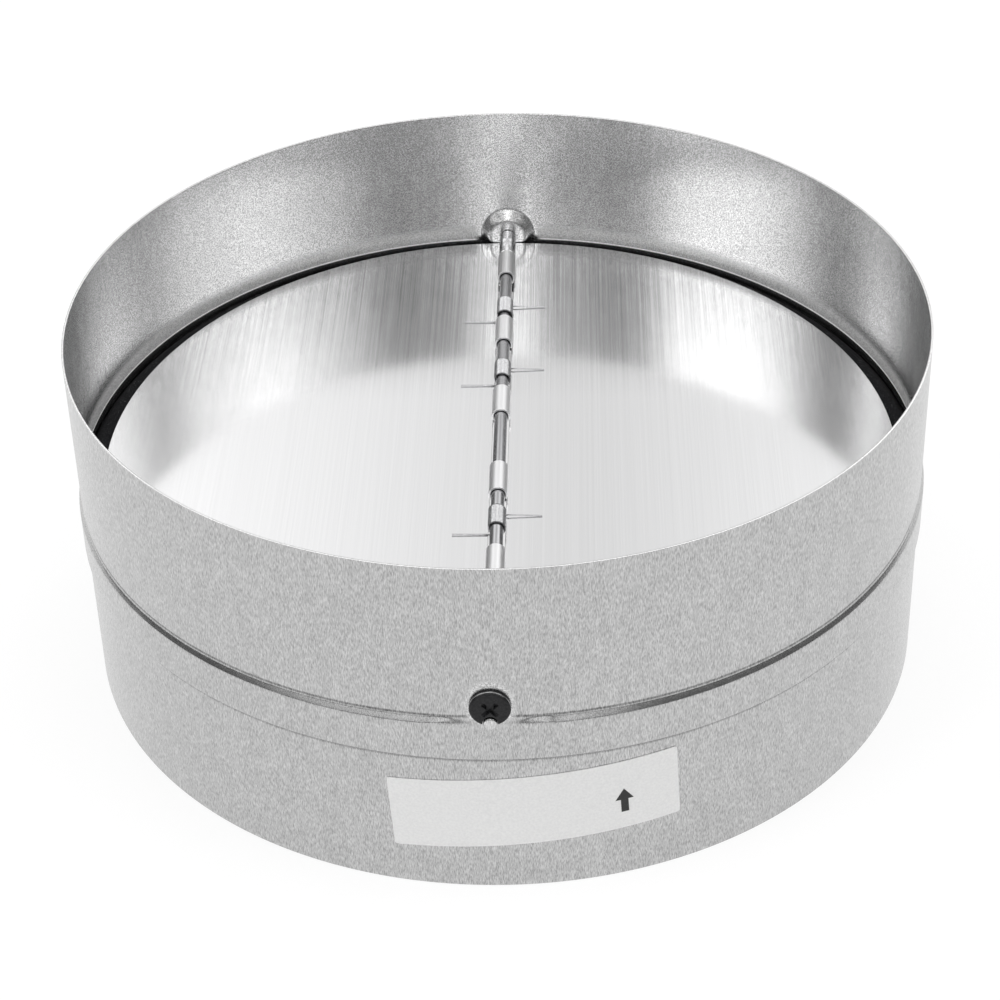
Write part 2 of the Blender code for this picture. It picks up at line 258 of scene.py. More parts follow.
def alongSpindle(bm, front):
    turn = Matrix.Rotation(math.radians(90.0), 4, "X")
    if not front:
        turn = Matrix.Rotation(math.pi, 4, "Z") @ turn
    bmesh.ops.transform(bm, verts=bm.verts, matrix=Matrix.Translation((0, 0, spindleHeight)) @ turn)


def softMinimum(first, second, width):
    share = max(width - abs(first - second), 0.0) / width
    return min(first, second) - share * share * width / 4


# casing: rolled galvanised sheet with one pressed band and two dimples
casing = {
    "radius": 99.0 * mm, "height": 85.5 * mm, "sheet": 0.5 * mm,
    "rimEdge": 0.25 * mm, "rimRounding": 0.12 * mm,
    "bandRise": 0.65 * mm, "bandTop": 47.4 * mm, "bandStep": 1.6 * mm, "hollow": 0.35 * mm,
    "shoulder": 0.35 * mm, "bandBottom": 35.5 * mm, "bandFoot": 1.2 * mm,
    "groove": 0.1 * mm, "grooveWidth": 0.5 * mm, "grooveLift": 0.3 * mm,
    "dip": 0.35 * mm, "dipReach": 2.2 * mm,
    "fineArc": 15.2, "fineSteps": 40, "wideSteps": 150,
    "patch": 12.0 * mm, "patchEdge": 1.0 * mm, "patchRings": 9, "patchInner": 8.0 * mm,
    "pipRadius": 1.5 * mm, "pipDrop": 3.9 * mm, "pipHeight": 1.28 * mm, "pipRoot": 0.3 * mm,
    "pipRounding": 0.3 * mm, "pipInset": 0.08 * mm,
    # even rows up the wall: first height, spacing and count
    "bandRows": (37.4 * mm, 0.8 * mm, 11), "grooveRows": (47.4 * mm, 0.12 * mm, 15),
    "dimpleRows": (50.2 * mm, 0.675 * mm, 19),
    # in millimetres: the plain ends' rows and the radii of the rings in a dimple
    "lowRows": (4, 10, 18, 26, 32, 34.5), "highRows": (64, 68, 74, 80, 83.5),
    "rings": (7.75, 7.55, 7.38, 7.22, 7.06, 6.9, 6.6, 6.2, 5.8, 5.5, 5.2, 4.95, 4.7, 4.45, 4.2, 3.8,
              3.0, 2.2, 1.7),
}
# the front dimple is a shallow press, the rear one a deep dish
dimples = {
    -1: {"rim": 10.0 * mm, "floor": 4.7 * mm, "depth": 0.4 * mm, "ends": 0.3,
         "seat": 98.7 * mm, "pipTop": 99.8 * mm},
    1: {"rim": 7.2 * mm, "floor": 4.6 * mm, "depth": 1.8 * mm, "rimFillet": 0.5 * mm,
        "floorFillet": 0.35 * mm, "seat": 97.5 * mm, "pipTop": 98.48 * mm},
}


def stepRise(drop):
    hollow, shoulder, step = casing["hollow"], casing["shoulder"], casing["bandStep"]
    slope = casing["bandRise"] / (step - (hollow + shoulder) / 2)
    if drop < hollow:
        return slope * drop * drop / (2 * hollow)
    if drop < step - shoulder:
        return slope * (drop - hollow / 2)
    return casing["bandRise"] - slope * (step - drop) ** 2 / (2 * shoulder)


def wallRadius(height, across=0.0):
    top = casing["bandTop"]
    away = math.hypot(across, top - spindleHeight) - dimples[1]["rim"]
    if abs(across) < casing["patch"]:
        fade = 1.0 - (abs(across) / casing["patch"]) ** 4
        top -= casing["dip"] * fade * math.exp(-(max(away, 0.0) / casing["dipReach"]) ** 2)
    past = (height - top - casing["grooveLift"]) / casing["grooveWidth"]
    groove = casing["groove"] * math.exp(-past * past)
    if height >= top:
        return casing["radius"] - groove
    if height > top - casing["bandStep"]:
        return casing["radius"] + stepRise(top - height) - groove
    foot = casing["bandBottom"] + casing["bandFoot"]
    if height > foot:
        return casing["radius"] + casing["bandRise"]
    if height > casing["bandBottom"]:
        share = (foot - height) / casing["bandFoot"]
        return casing["radius"] + casing["bandRise"] * (0.5 + 0.5 * math.cos(math.pi * share))
    return casing["radius"]


def wallDepth(across, height, side):
    dimple = dimples[side]
    wall = math.sqrt(wallRadius(height, across) ** 2 - across * across)
    reach = math.hypot(across, height - spindleHeight)
    floor = casing["radius"] - dimple["depth"]
    if side < 0:
        share = (dimple["rim"] - reach) / (dimple["rim"] - dimple["floor"])
        share = -softMinimum(-softMinimum(share, 1.0, dimple["ends"]), 0.0, dimple["ends"])
        return wall + (floor - wall) * min(max(share, 0.0), 1.0)
    slope = dimple["depth"] / (dimple["rim"] - dimple["floor"])
    cone = floor + (reach - dimple["floor"]) * slope
    dish = -softMinimum(-floor, -cone, dimple["floorFillet"])
    return softMinimum(wall, dish, dimple["rimFillet"])


def casingRows():
    step = casing["bandStep"]
    band, groove, dimple = ([first + spacing * i for i in range(count)]
                            for first, spacing, count in (casing[key] for key in (
                                "bandRows", "grooveRows", "dimpleRows")))
    rows = [0.0, casing["rimEdge"]] + [row * mm for row in casing["lowRows"]]
    rows += [casing["bandBottom"] + casing["bandFoot"] * i / 10 for i in range(11)] + band
    rows += [casing["bandTop"] - step + step * i / 16 for i in range(16)] + groove + dimple
    rows += [row * mm for row in casing["highRows"]]
    return rows + [casing["height"] - casing["rimEdge"], casing["height"]]


def pressDimple(bm, side):
    inside = casing["patch"]
    away = [face for face in bm.faces
            if side * face.calc_center_median().y > 0
            and abs(face.calc_center_median().x) < inside
            and abs(face.calc_center_median().z - spindleHeight) < inside]
    bmesh.ops.delete(bm, geom=away, context="FACES")
    loop = [edge for edge in bm.edges if edge.is_boundary
            and all(side * vert.co.y > 0 and abs(vert.co.x) < inside + casing["patchEdge"]
                    and abs(vert.co.z - spindleHeight) < inside + 2 * casing["patchEdge"]
                    for vert in edge.verts)]
    rings = [None] * casing["patchRings"] + [radius * mm for radius in casing["rings"]]
    for number, ring in enumerate(rings):
        grown = bmesh.ops.extrude_edge_only(bm, edges=loop)["geom"]
        fresh, loop = freshParts(grown)
        for vert in fresh:
            offset = Vector((vert.co.x, vert.co.z - spindleHeight))
            reach = offset.length
            target = ring or reach - (reach - casing["patchInner"]) / (casing["patchRings"] - number)
            offset *= target / reach
            height = spindleHeight + offset.y
            vert.co = (offset.x, side * wallDepth(offset.x, height, side), height)


def buildCasing(finish):
    bm = bmesh.new()
    rows = casingRows()
    geometry = profileLine(bm, [(wallRadius(height), height) for height in rows])
    start = math.radians(-90.0 - casing["fineArc"] / 2)
    bmesh.ops.rotate(bm, verts=bm.verts, cent=(0, 0, 0), matrix=Matrix.Rotation(start, 3, "Z"))
    for arc, steps in ((casing["fineArc"], casing["fineSteps"]),
                       (180.0 - casing["fineArc"], casing["wideSteps"])) * 2:
        geometry = bmesh.ops.spin(bm, geom=geometry, cent=(0, 0, 0), axis=(0, 0, 1), dvec=(0, 0, 0),
                                  angle=math.radians(arc), steps=steps, use_merge=False,
                                  use_duplicate=False)["geom_last"]
    bmesh.ops.remove_doubles(bm, verts=bm.verts, dist=0.00001)
    for vert in bm.verts:
        if (abs(vert.co.x) < casing["patch"] + casing["patchEdge"]
                and abs(vert.co.z - spindleHeight) < casing["patch"] + 2 * casing["patchEdge"]):
            side = 1 if vert.co.y > 0 else -1
            vert.co.y = side * wallDepth(vert.co.x, vert.co.z, side)
    for side in (-1, 1):
        pressDimple(bm, side)
    bmesh.ops.recalc_face_normals(bm, faces=bm.faces)
    outward = sum(face.normal.dot(Vector((face.calc_center_median().x, face.calc_center_median().y, 0)))
                  for face in bm.faces)
    if outward < 0:
        bmesh.ops.reverse_faces(bm, faces=bm.faces)
    bmesh.ops.solidify(bm, geom=list(bm.faces), thickness=casing["sheet"])
    rims = [edge for edge in bm.edges
            if len(edge.link_faces) == 2 and edge.calc_face_angle() > math.radians(60)
            and (min(vert.co.z for vert in edge.verts) > casing["height"] - casing["sheet"]
                 or max(vert.co.z for vert in edge.verts) < casing["sheet"])]
    rounded(bm, rims, casing["rimRounding"], 2, clamp_overlap=True)
    for side in (-1, 1):
        pip = bmesh.new()
        bmesh.ops.create_cone(pip, cap_ends=True, segments=40, radius1=casing["pipRadius"],
                              radius2=casing["pipRadius"], depth=casing["pipHeight"] + casing["pipRoot"])
        edges = [edge for edge in pip.edges if all(vert.co.z > 0 for vert in edge.verts)]
        rounded(pip, edges, casing["pipRounding"], 3)
        cap = [face for face in pip.faces if face.normal.z > 0.99]
        bmesh.ops.inset_region(pip, faces=cap, thickness=casing["pipInset"])
        middle = dimples[side]["pipTop"] - (casing["pipHeight"] + casing["pipRoot"]) / 2
        bmesh.ops.translate(pip, verts=pip.verts, vec=(0, -casing["pipDrop"], middle))
        alongSpindle(pip, side < 0)
        joined(bm, pip)
    return finishPiece("damper_casing", bm, "casing_body", finish, ["casing"])


galvanised = {
    "color": (0.51, 0.51, 0.51), "roughness": (0.23, 0.26), "bump": 0.12, "bumpDepth": 0.04 * mm,
    "drawn": (5600, (1.0, 1.0, 0.17)), "drawnRange": (0.31, 0.69), "even": 3400, "evenRange": (0.42, 0.58),
    "mottle": (300, (1.0, 1.0, 0.45)), "grainShare": 0.86, "mottleShare": 0.14,
    "contrast": 0.33, "tone": 0.32, "rimHighlight": 0.62, "fade": 0.05 * mm, "insideLightGain": 1.22,
    "pipTone": 0.13, "pipFade": (0.25 * mm, 0.1 * mm),
    # painted shade along the creases on the outside: height, half width and depth of each
    "creaseShade": ((47.5 * mm, 0.5 * mm, 0.8), (45.9 * mm, 0.4 * mm, 0.12), (35.6 * mm, 0.4 * mm, 0.45)),
    # inside, above the foam: a thin painted highlight line, and a matt zone with a little painted shade
    # that ends beside the dimples
    "line": 48.45 * mm, "lineHalf": 0.32 * mm, "lineHighlight": 0.6,
    "mattTop": (51.2 * mm, 53.6 * mm), "mattSide": (7.5 * mm, 9.0 * mm), "matt": 0.85, "mattShade": 0.1,
}


def outsideMask(finish):
    reach = distanceFrom(finish, (0.0, 0.0, 0.0), (1.0, 1.0, 0.0))
    middle = casing["radius"] - casing["sheet"] / 2
    return mapped(finish, reach, 0.0, 1.0, middle - galvanised["fade"], middle + galvanised["fade"])


# painted shade: dark lines along the band's creases
def creaseShade(finish):
    lines = None
    for height, halfWidth, depth in galvanised["creaseShade"]:
        line = mapped(finish, awayFrom(finish, height), depth, 0.0, 0.3 * halfWidth, halfWidth)
        lines = added(finish, lines, line) if lines else line
    return lines


def pipMask(finish):
    reach = distanceFrom(finish, (0.0, 0.0, spindleHeight - casing["pipDrop"]), (1.0, 0.0, 1.0))
    start, end = (casing["pipRadius"] - fade for fade in galvanised["pipFade"])
    return mapped(finish, reach, galvanised["pipTone"], 0.0, start, end)


def aboveFoamMask(finish, outside):
    start = galvanised["line"] - galvanised["lineHalf"]
    above = mapped(finish, along(finish), 0.0, 1.0, start, galvanised["line"])
    across = calculated(finish, "ABSOLUTE", along(finish, "X"), 0.0)
    aside = mapped(finish, across, 0.0, 1.0, *galvanised["mattSide"])
    return multiplied(finish, remainder(finish, outside), multiplied(finish, above, aside))


def galvanisedFinish():
    finish = newFinish("galvanisedSheet", galvanised["color"], 1.0, 0.26)
    drawn = grain(finish, *galvanised["drawn"], detail=1.0)
    even = grain(finish, galvanised["even"], detail=2.0)
    mottle = grain(finish, *galvanised["mottle"], detail=3.0)
    outside = outsideMask(finish)
    fine = blended(finish, outside, mapped(finish, even, 0.0, 1.0, *galvanised["evenRange"]),
                   mapped(finish, drawn, 0.0, 1.0, *galvanised["drawnRange"]))
    shade = added(finish, multiplied(finish, fine, galvanised["grainShare"]),
                  multiplied(finish, mapped(finish, mottle, 0.0, 1.0), galvanised["mottleShare"]))
    # the painted crease shade, on the outside only
    shade = calculated(finish, "SUBTRACT", shade, multiplied(finish, outside, creaseShade(finish)))
    # painted highlight: the colour lightens towards the top edge of the rim
    base = mapped(finish, along(finish), galvanised["tone"], galvanised["rimHighlight"],
                  casing["height"] - casing["rimEdge"], casing["height"] - galvanised["fade"])
    aboveFoam = aboveFoamMask(finish, outside)
    matt = multiplied(finish, mapped(finish, along(finish), 1.0, 0.0, *galvanised["mattTop"]), aboveFoam)
    # painted highlight: a thin light line above the foam, inside only
    line = mapped(finish, awayFrom(finish, galvanised["line"]), galvanised["lineHighlight"], 0.0,
                  0.5 * galvanised["lineHalf"], galvanised["lineHalf"])
    tone = added(finish, multiplied(finish, shade, galvanised["contrast"]), base)
    # painted shade: the matt zone above the foam is made a little darker
    tone = multiplied(finish, tone, remainder(finish, multiplied(finish, matt, galvanised["mattShade"])))
    tone = added(finish, tone, multiplied(finish, line, aboveFoam))
    tone = added(finish, tone, pipMask(finish))
    # painted light: the inside of the sheet is given a brighter colour than the outside
    gain = mapped(finish, outside, galvanised["insideLightGain"], 1.0, 0.0, 1.0)
    toShader(finish, multiplied(finish, tone, gain), "Base Color")
    toShader(finish, remainder(finish, multiplied(finish, matt, galvanised["matt"])), "Metallic")
    toShader(finish, mapped(finish, mottle, *galvanised["roughness"]), "Roughness")
    embossed(finish, fine, galvanised["bump"], galvanised["bumpDepth"])
    return finish


buildCasing(galvanisedFinish())
print("casing built")


# foam seal: two half rings of soft strip
seal = {
    "thickness": 8.0 * mm, "top": 47.45 * mm, "height": 11.0 * mm, "gap": 0.3 * mm, "joint": 0.6 * mm,
    "cornerDrop": 1.5 * mm, "cornerWidth": 2.2 * mm, "edge": 0.3 * mm, "steps": 220,
    "roughness": 0.09 * mm, "dimpleReach": 9.0 * mm,
    # the surface's unevenness: how fine each layer is, and its share
    "unevenness": ((900, 1.0), (300, 0.6)),
}


def sealSection():
    edge, low = seal["edge"], seal["top"] - seal["height"]
    inner = casing["radius"] - casing["sheet"] - seal["thickness"]
    outerTop = casing["radius"] - casing["sheet"] - seal["gap"]
    points = [(inner, low + edge + (seal["height"] - 2 * edge) * i / 8) for i in range(9)]
    for i in range(10):
        radius = inner + edge + (outerTop - inner - edge) * i / 9
        past = max(radius - (outerTop - seal["cornerWidth"]), 0.0) / seal["cornerWidth"]
        points.append((radius, seal["top"] - seal["cornerDrop"] * past ** 2))
    for i in range(1, 13):
        height = seal["top"] - seal["cornerDrop"] - (seal["height"] - seal["cornerDrop"]) * i / 12
        points.append((wallRadius(height) - casing["sheet"] - seal["gap"], height))
    for i in range(1, 8):
        points.append((outerTop + (inner + edge - outerTop) * i / 7, low))
    return points


def buildSeal(side, finish):
    bm = bmesh.new()
    points = sealSection()
    geometry = profileLine(bm, points)
    verts = [item for item in geometry if isinstance(item, bmesh.types.BMVert)]
    geometry.append(bm.edges.new((verts[-1], verts[0])))
    joint = math.asin(seal["joint"] / 2 / casing["radius"])
    start = -math.pi / 2 + joint if side > 0 else math.pi / 2 + joint
    bmesh.ops.rotate(bm, verts=bm.verts, cent=(0, 0, 0), matrix=Matrix.Rotation(start, 3, "Z"))
    bmesh.ops.spin(bm, geom=geometry, cent=(0, 0, 0), axis=(0, 0, 1), dvec=(0, 0, 0),
                   angle=math.pi - 2 * joint, steps=seal["steps"], use_merge=False, use_duplicate=False)
    bmesh.ops.holes_fill(bm, edges=[edge for edge in bm.edges if edge.is_boundary], sides=0)
    bmesh.ops.recalc_face_normals(bm, faces=bm.faces)
    bm.normal_update()
    for vert in bm.verts:
        wobble = sum(share * noise.noise(vert.co * scale) for scale, share in seal["unevenness"])
        if len([face for face in vert.link_faces if len(face.verts) > 4]) == 0:
            vert.co += vert.normal * wobble * seal["roughness"]
        limit = wallDepth(vert.co.x, vert.co.z, 1 if vert.co.y > 0 else -1) - casing["sheet"] - seal["gap"]
        if abs(vert.co.x) < seal["dimpleReach"] and abs(vert.co.y) > limit:
            vert.co.y = math.copysign(limit, vert.co.y)
        if abs(vert.co.x) < seal["joint"] / 2:
            vert.co.x = side * seal["joint"] / 2
        vert.co.z = min(vert.co.z, seal["top"])
    name = "right_seal" if side > 0 else "left_seal"
    return finishPiece("foam_" + name, bm, "casing_body", finish, [name], 60.0)


def foamFinish():
    finish = newFinish("blackFoam", (0.012, 0.012, 0.013), 0.0, 0.9)
    cells = addNode(finish.node_tree, "ShaderNodeTexVoronoi", feature="F1")
    place = addNode(finish.node_tree, "ShaderNodeTexCoord")
    cells.inputs["Scale"].default_value = 1900
    finish.node_tree.links.new(place.outputs["Object"], cells.inputs["Vector"])
    fine = grain(finish, 2400, detail=2.0)
    speck = mapped(finish, fine, 0.0, 1.0, 0.60, 0.76)
    toShader(finish, tinted(finish, speck, (0.005, 0.005, 0.006), (0.09, 0.09, 0.093)), "Base Color")
    finish.node_tree.nodes["Principled BSDF"].inputs["Specular IOR Level"].default_value = 0.2
    embossed(finish, cells.outputs["Distance"], 0.6, 0.0002)
    return finish


foam = foamFinish()
for side in (-1, 1):
    buildSeal(side, foam)
print("foam seal built")


# blades: flat half ovals whose tongues are rolled round the spindle
blade = {
    "halfWidth": 93.5 * mm, "halfLength": 96.4 * mm, "sheet": 0.5 * mm, "knuckleRadius": 2.25 * mm,
    "knuckleLength": 11.0 * mm, "frontMargin": 8.0 * mm, "rearMargin": 10.8 * mm, "knuckles": 6,
    "sweep": 300.0, "rollSteps": 40, "arcSteps": 220, "bevel": 0.1 * mm, "clearance": 0.34 * mm,
}


def knuckleMiddles():
    row = 2 * blade["halfLength"] - blade["frontMargin"] - blade["rearMargin"] - blade["knuckleLength"]
    pitch = row / (blade["knuckles"] - 1)
    first = blade["halfLength"] - blade["rearMargin"] - blade["knuckleLength"] / 2
    return [first - pitch * i for i in range(blade["knuckles"])]


def bladeEdge():
    bore = blade["knuckleRadius"] - blade["sheet"]
    return math.sqrt((blade["knuckleRadius"] + blade["clearance"]) ** 2 - bore ** 2)


def buildBlade(name, side, middles, finish):
    bm = bmesh.new()
    edge = bladeEdge()
    level = -(blade["knuckleRadius"] - blade["sheet"] / 2)
    start = math.acos(edge / blade["halfWidth"])
    first = bm.verts.new((side * edge, side * blade["halfWidth"] * math.sin(start), level))
    arc = bmesh.ops.spin(bm, geom=[first], cent=(0, 0, level), axis=(0, 0, -1), dvec=(0, 0, 0),
                         angle=2 * start, steps=blade["arcSteps"], use_duplicate=False)
    last = [item for item in arc["geom_last"] if isinstance(item, bmesh.types.BMVert)][0]
    bmesh.ops.scale(bm, verts=bm.verts, vec=(1.0, blade["halfLength"] / blade["halfWidth"], 1.0))
    corners = []
    for middle in reversed(middles) if side > 0 else middles:
        near = middle - side * blade["knuckleLength"] / 2
        far = middle + side * blade["knuckleLength"] / 2
        corners += [(edge, near), (0.0, near), (0.0, far), (edge, far)]
    chain = [last] + [bm.verts.new((side * x, y, level)) for x, y in corners] + [first]
    for pair in zip(chain, chain[1:]):
        bm.edges.new(pair)
    bmesh.ops.contextual_create(bm, geom=list(bm.edges))
    tips = [item for item in bm.edges if all(abs(vert.co.x) < edge / 2 for vert in item.verts)]
    bmesh.ops.spin(bm, geom=tips, cent=(0, 0, 0), axis=(0, side, 0), dvec=(0, 0, 0),
                   angle=math.radians(blade["sweep"]), steps=blade["rollSteps"], use_duplicate=False)
    bmesh.ops.remove_doubles(bm, verts=bm.verts, dist=0.000005)
    bmesh.ops.recalc_face_normals(bm, faces=bm.faces)
    bmesh.ops.translate(bm, verts=bm.verts, vec=(0, 0, spindleHeight))
    piece = finishPiece("damper_" + name, bm, name + "_body", finish, [name], 50.0)
    sheet = piece.modifiers.new("sheet", "SOLIDIFY")
    sheet.thickness = blade["sheet"]
    sheet.offset = 0.0
    sheet.use_even_offset = True
    rounding = piece.modifiers.new("edges", "BEVEL")
    rounding.width = blade["bevel"]
    rounding.segments = 2
    rounding.limit_method = "ANGLE"
    rounding.angle_limit = math.radians(60)
    rounding.harden_normals = True
    return piece


# the rolled streaks show most towards the rear, the sheet carries painted shade that darkens it towards the
# rear, and the knuckles are duller than the sheet
satin = {
    "color": (0.86, 0.86, 0.865), "dark": (0.5, 0.5, 0.503), "light": (0.94, 0.94, 0.945),
    "streaks": (4200, (1.0, 0.002, 1.0)), "broad": (160, (1.0, 0.01, 1.0)), "clouds": 18,
    "streakShare": 0.8, "broadShare": 0.2, "contrast": 0.36, "rear": (20.0 * mm, 70.0 * mm),
    "rearShadeTone": 0.36, "frontLitTone": 0.75, "frontShare": 0.15,
    "roughness": (0.12, 0.14), "knuckleRoughness": 0.24, "knuckleDrop": (1.4 * mm, 0.9 * mm),
    "dents": (0.008, 2.0 * mm), "lines": (0.006, 0.1 * mm),
}


def aluminiumFinish():
    finish = newFinish("satinAluminium", satin["color"], 1.0, 0.2)
    streaks = grain(finish, *satin["streaks"], detail=2.0, roughness=0.6)
    broad = grain(finish, *satin["broad"], detail=2.0)
    clouds = grain(finish, satin["clouds"], detail=2.0)
    both = added(finish, multiplied(finish, streaks, satin["streakShare"]),
                 multiplied(finish, broad, satin["broadShare"]))
    behind = mapped(finish, along(finish, "Y"), satin["frontShare"], 1.0, *satin["rear"])
    contrast = satin["contrast"]
    tone = multiplied(finish, mapped(finish, both, -contrast, contrast, 0.32, 0.68), behind)
    # painted light and shade: the sheet's colour is lighter towards the front and darker towards the rear
    tone = added(finish, tone, mapped(finish, behind, satin["frontLitTone"], satin["rearShadeTone"],
                                      satin["frontShare"], 1.0))
    toShader(finish, tinted(finish, tone, satin["dark"], satin["light"]), "Base Color")
    start, end = (spindleHeight - drop for drop in satin["knuckleDrop"])
    rolled = mapped(finish, along(finish), 0.0, satin["knuckleRoughness"], start, end)
    toShader(finish, added(finish, mapped(finish, both, *satin["roughness"]), rolled), "Roughness")
    dents = embossed(finish, clouds, *satin["dents"])
    embossed(finish, streaks, *satin["lines"], dents)
    return finish


aluminium = aluminiumFinish()
middles = knuckleMiddles()
buildBlade("left_blade", -1, middles[0::2], aluminium)
buildBlade("right_blade", 1, middles[1::2], aluminium)
print("blades built")


# black pan-head screws: their figures set where the rod ends
screw = {
    "radius": 4.4 * mm, "height": 1.1 * mm, "rounding": 0.55 * mm, "highlightWidth": 0.12 * mm,
    "shank": 1.6 * mm, "shankLength": 4.2 * mm, "shankRoot": 0.3 * mm, "shankTip": 0.2 * mm,
    "notch": 1.8 * mm, "notchDrop": 3.9 * mm, "arcSteps": 72, "notchSteps": 14,
    "slotReach": 2.2 * mm, "slotWidth": 1.0 * mm, "slotDepth": 0.9 * mm, "slotTaper": 0.42,
}


# spindle rod and its sleeves
spindle = {
    "rodRadius": 1.6 * mm, "sleeveRadius": 2.1 * mm, "bore": 1.7 * mm, "gap": 0.3 * mm,
    "endRounding": 0.25 * mm, "sleeveRounding": 0.12 * mm, "sides": 64,
}


def steelFinish(name, color, roughness, streakScale):
    finish = newFinish(name, color, 1.0, roughness)
    turned = grain(finish, streakScale, (1.0, 0.04, 1.0), detail=3.0)
    soft = grain(finish, 300, detail=2.0)
    darker = tuple(part * 0.92 for part in color)
    lighter = tuple(min(part * 1.05, 1.0) for part in color)
    toShader(finish, tinted(finish, mapped(finish, turned, 0.0, 1.0), darker, lighter), "Base Color")
    toShader(finish, mapped(finish, soft, roughness * 0.8, roughness * 1.25), "Roughness")
    embossed(finish, turned, 0.05, 0.00004)
    return finish


def buildRod(finish):
    bm = bmesh.new()
    ahead, behind = (dimples[side]["seat"] - screw["shankLength"] - spindle["gap"] for side in (-1, 1))
    bmesh.ops.create_cone(bm, cap_ends=True, segments=spindle["sides"], radius1=spindle["rodRadius"],
                          radius2=spindle["rodRadius"], depth=ahead + behind)
    bmesh.ops.translate(bm, verts=bm.verts, vec=(0, 0, (ahead - behind) / 2))
    ends = [edge for edge in bm.edges if abs(edge.verts[0].co.z - edge.verts[1].co.z) < 1e-6]
    rounded(bm, ends, spindle["endRounding"], 3)
    alongSpindle(bm, True)
    return finishPiece("hinge_rod", bm, "casing_body", finish, ["spindle_rod"])


def buildSleeve(side, middle, finish):
    outer = dimples[side]["seat"] - casing["sheet"] - 2 * spindle["gap"]
    inner = abs(middle) + blade["knuckleLength"] / 2 + spindle["gap"]
    rounding = spindle["sleeveRounding"]
    radius = spindle["sleeveRadius"]
    points = [(spindle["bore"], inner), (radius - rounding, inner), (radius, inner + rounding),
              (radius, outer - rounding), (radius - rounding, outer), (spindle["bore"], outer)]
    bm = spunTube(points, spindle["sides"])
    alongSpindle(bm, side < 0)
    name = "front_sleeve" if side < 0 else "rear_sleeve"
    return finishPiece("bush_" + name, bm, "casing_body", finish, [name])


buildRod(steelFinish("drawnRod", (0.44, 0.44, 0.45), 0.2, 1400))
polished = steelFinish("polishedSleeve", (0.78, 0.78, 0.79), 0.12, 1400)
buildSleeve(-1, middles[-1], polished)
buildSleeve(1, middles[0], polished)
print("rod and sleeves built")


# torsion springs: each is built in two halves, the leg of each lying on one blade
spring = {
    "wire": 0.17 * mm, "radius": 1.93 * mm, "length": 7.5 * mm, "turns": 20, "turnSteps": 36,
    "wireSides": 10, "shadedTurn": 0.75, "bendSteps": 3, "legSteps": 8, "reach": 10.2 * mm,
    # the gaps from the rear: the spring's place, -1 at the front knuckle and 1 at the rear one, or none
    "places": (-0.66, -0.27, None, 0.17, 0.0),
    "bendPast": 0.5 * mm, "bendLift": {1: 0.35 * mm, -1: 0.05 * mm},
    "tipLift": {1: 0.02 * mm, -1: 0.12 * mm},
}


def springPath(side):
    half = spring["length"] / 2 - spring["wire"]
    rest = -(blade["knuckleRadius"] - blade["sheet"]) + spring["wire"]
    bend = Vector((bladeEdge() + spring["bendPast"], 0.0, rest + spring["bendLift"][side]))
    reach = math.hypot(bend.x, bend.z)
    tangent = math.atan2(bend.z, bend.x) - math.acos(spring["radius"] / reach)
    sweep = math.pi * spring["turns"] + math.pi / 2 + tangent
    steps = round(sweep / math.tau * spring["turnSteps"])
    path = []
    for i in range(steps + 1):
        share = i / steps
        angle = tangent - sweep * (1.0 - share)
        path.append(Vector((side * spring["radius"] * math.cos(angle), side * half * share,
                            spring["radius"] * math.sin(angle))))
    coiled = len(path) - round(spring["shadedTurn"] * spring["turnSteps"])
    for left in range(spring["bendSteps"], 0, -1):
        path.append(path[-1].lerp(Vector((side * bend.x, side * half, bend.z)), 1 / left))
    tip = Vector((side * spring["reach"], side * half, rest + spring["tipLift"][side]))
    knee = path[-1].copy()
    legSteps = spring["legSteps"]
    return path + [knee.lerp(tip, i / legSteps) for i in range(1, legSteps + 1)], coiled


def sweptWire(path, radius, sides, coiled):
    bm = bmesh.new()
    shade = bm.verts.layers.float.new("endShade")
    ahead = (path[1] - path[0]).normalized()
    ring = bmesh.ops.create_circle(bm, segments=sides, radius=radius)["verts"]
    turned = ahead.to_track_quat("Z", "Y").to_matrix().to_4x4()
    bmesh.ops.transform(bm, verts=ring, matrix=Matrix.Translation(path[0]) @ turned)
    loop = list(bm.edges)
    for number in range(1, len(path)):
        after = (path[min(number + 1, len(path) - 1)] - path[number - 1]).normalized()
        turn = ahead.rotation_difference(after)
        grown = bmesh.ops.extrude_edge_only(bm, edges=loop)["geom"]
        fresh, loop = freshParts(grown)
        bmesh.ops.transform(bm, verts=fresh, matrix=(Matrix.Translation(path[number])
                            @ turn.to_matrix().to_4x4() @ Matrix.Translation(-path[number - 1])))
        for vert in fresh:
            # painted shade: full on the last turn and the bend, weaker on the leg
            vert[shade] = (number > coiled) - 0.6 * (number >= len(path) - spring["legSteps"])
        ahead = after
    bmesh.ops.holes_fill(bm, edges=[edge for edge in bm.edges if edge.is_boundary], sides=0)
    bmesh.ops.recalc_face_normals(bm, faces=bm.faces)
    return bm


def buildSprings(finish):
    pitch = middles[0] - middles[1]
    room = (pitch - blade["knuckleLength"] - spring["length"]) / 2
    number = 0
    for rearKnuckle, frontKnuckle, share in zip(middles, middles[1:], spring["places"]):
        if share is None:
            continue
        number += 1
        middle = (rearKnuckle + frontKnuckle) / 2 + share * room
        for side, half, blades in ((1, "rear", "right_blade_body"), (-1, "front", "left_blade_body")):
            path, coiled = springPath(side)
            bm = sweptWire(path, spring["wire"], spring["wireSides"], coiled)
            bmesh.ops.translate(bm, verts=bm.verts, vec=(0, middle, spindleHeight))
            piece = finishPiece(f"spring_{number}_{half}", bm, None, finish,
                                [f"spring_{number}"])
            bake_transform(piece)


